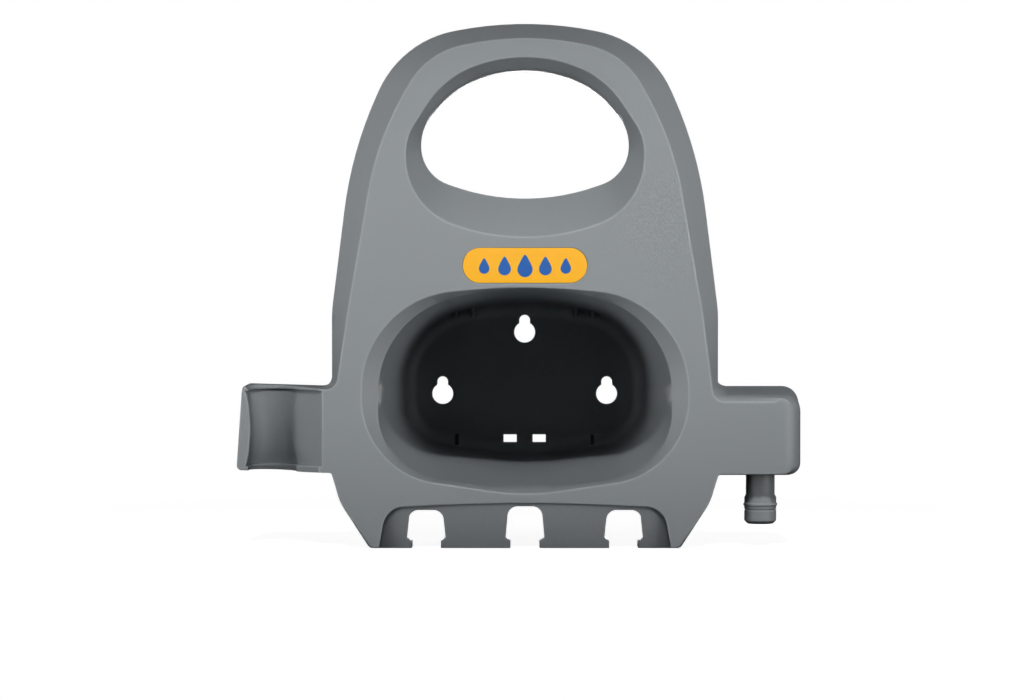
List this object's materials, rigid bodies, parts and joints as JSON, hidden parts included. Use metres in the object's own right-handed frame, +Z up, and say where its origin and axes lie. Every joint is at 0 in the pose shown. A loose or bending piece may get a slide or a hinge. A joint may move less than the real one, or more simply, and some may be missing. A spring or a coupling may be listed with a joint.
{
  "type": "wall hose hanger",
  "caption": "Moulded wall hanger for a garden hose: open bowl compartment in a drum, carrying handle, side cradle, side pocket with a connector spigot, and clip openings.",
  "frame": {"origin": "on the wall face of the back plate, midway between the two side keyholes", "axes": "+Z up, +X to the right as seen from the front, +Y into the wall; the front faces -Y"},
  "size_m": [0.2843, 0.1504, 0.2632],
  "materials": {
    "grey_plastic": "fine spark texture",
    "badge_yellow": "smooth, semi-gloss"
  },
  "bodies": {
    "root": {"hanger_body": "grey_plastic", "badge": "badge_yellow"}
  },
  "joints": []
}
